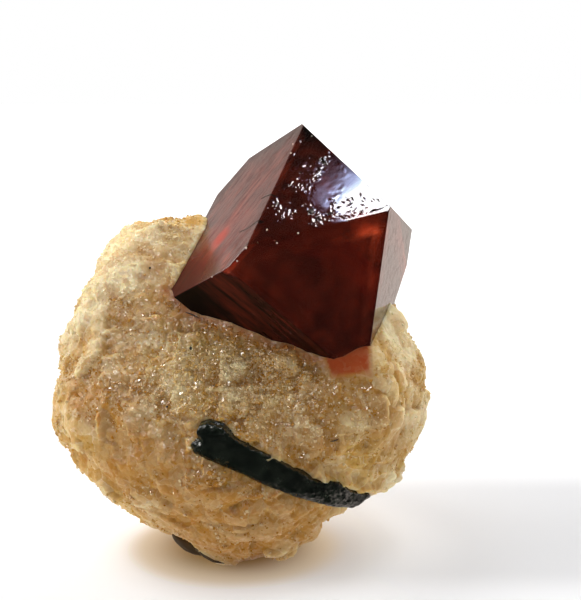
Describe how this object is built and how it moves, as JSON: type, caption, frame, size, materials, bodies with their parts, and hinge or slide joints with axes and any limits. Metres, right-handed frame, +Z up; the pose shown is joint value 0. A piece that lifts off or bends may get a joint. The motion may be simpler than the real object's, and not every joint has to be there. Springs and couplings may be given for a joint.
{
  "type": "zircon crystal on matrix",
  "caption": "Deep red-brown zircon crystal with pyramid ends, set in a rounded sugary calcite matrix that also holds a dark mineral blade and grain.",
  "frame": {"origin": "middle of the object's box in X and Y, on the surface it stands on", "axes": "+Z up, -Y towards the front that shows the blade and the large pyramid face, +X to the right"},
  "size_m": [0.0287, 0.0224, 0.0323],
  "materials": {
    "calcite": "coarse sugary crystalline, translucent, slightly glossy grain faces",
    "zircon": "clear deep red-brown crystal with glossy natural faces",
    "dark_mineral": "glossy green-black mineral with lengthwise striations"
  },
  "bodies": {
    "root": {"calcite_matrix": "calcite", "zircon_crystal": "zircon", "dark_blade": "dark_mineral", "dark_base_grain": "dark_mineral"}
  },
  "joints": []
}
